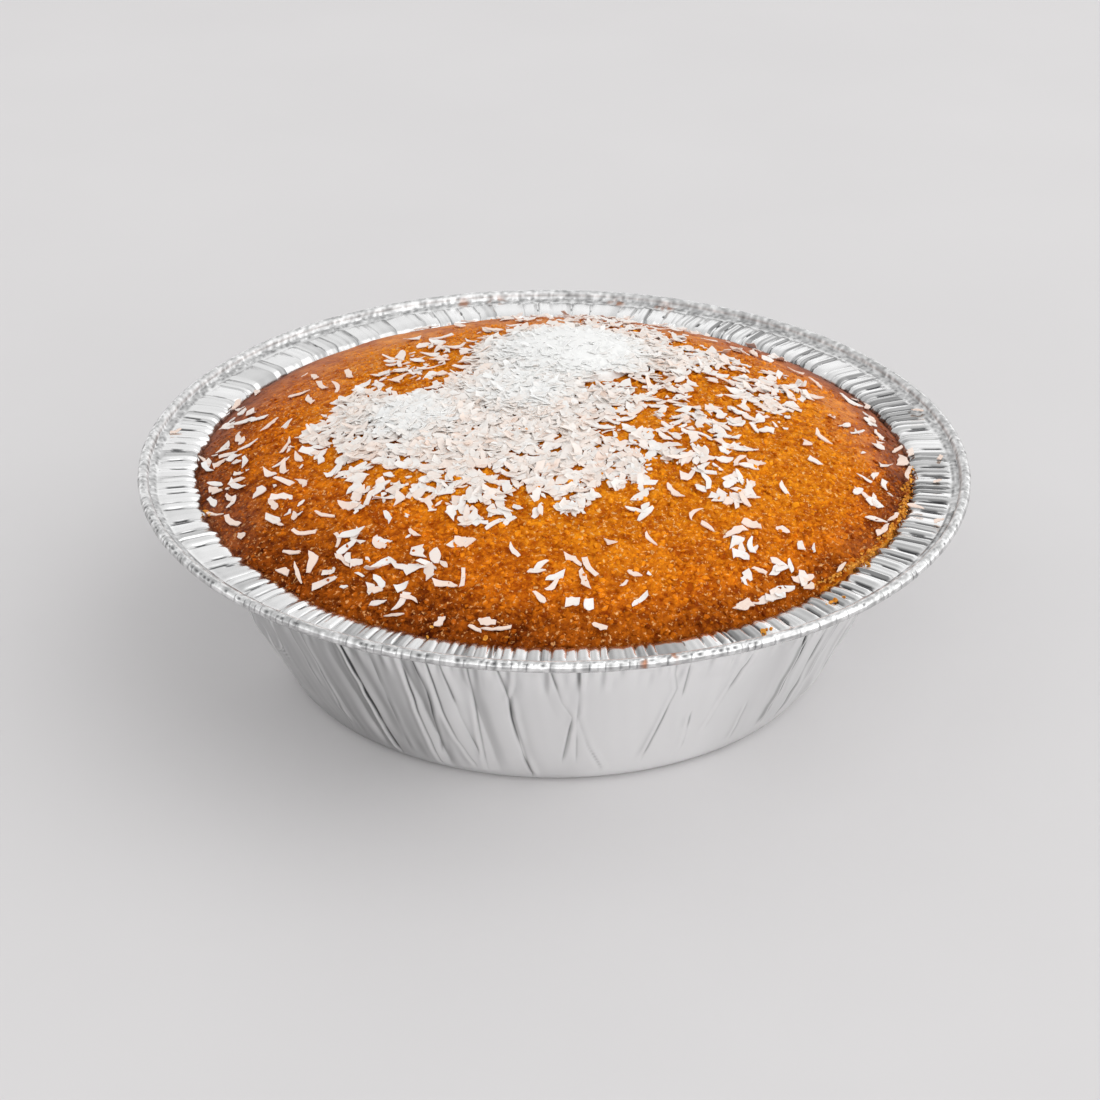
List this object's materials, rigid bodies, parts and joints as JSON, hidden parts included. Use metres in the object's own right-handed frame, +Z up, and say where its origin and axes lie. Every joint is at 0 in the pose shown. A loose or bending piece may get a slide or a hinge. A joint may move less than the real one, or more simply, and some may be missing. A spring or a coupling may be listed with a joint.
{
  "type": "basbousa",
  "caption": "Round semolina cake with a domed, browned top strewn with shredded coconut, in a fluted round foil tin with sloping sides and a rolled rim.",
  "frame": {"origin": "middle of the tin's flat underside, on the surface it stands on", "axes": "+Z up out of the cake's dome, -Y the front as pictured, +X to the right"},
  "size_m": [0.18, 0.18, 0.0646],
  "materials": {
    "foil": "thin crimped foil, satin outside, brighter on the rim",
    "cake": "baked semolina crumb, moist with syrup, amber to red-brown at the edge",
    "coconut": "dry shredded coconut, warm white"
  },
  "bodies": {
    "root": {"foil_tin": "foil", "cake": "cake"}
  },
  "joints": []
}
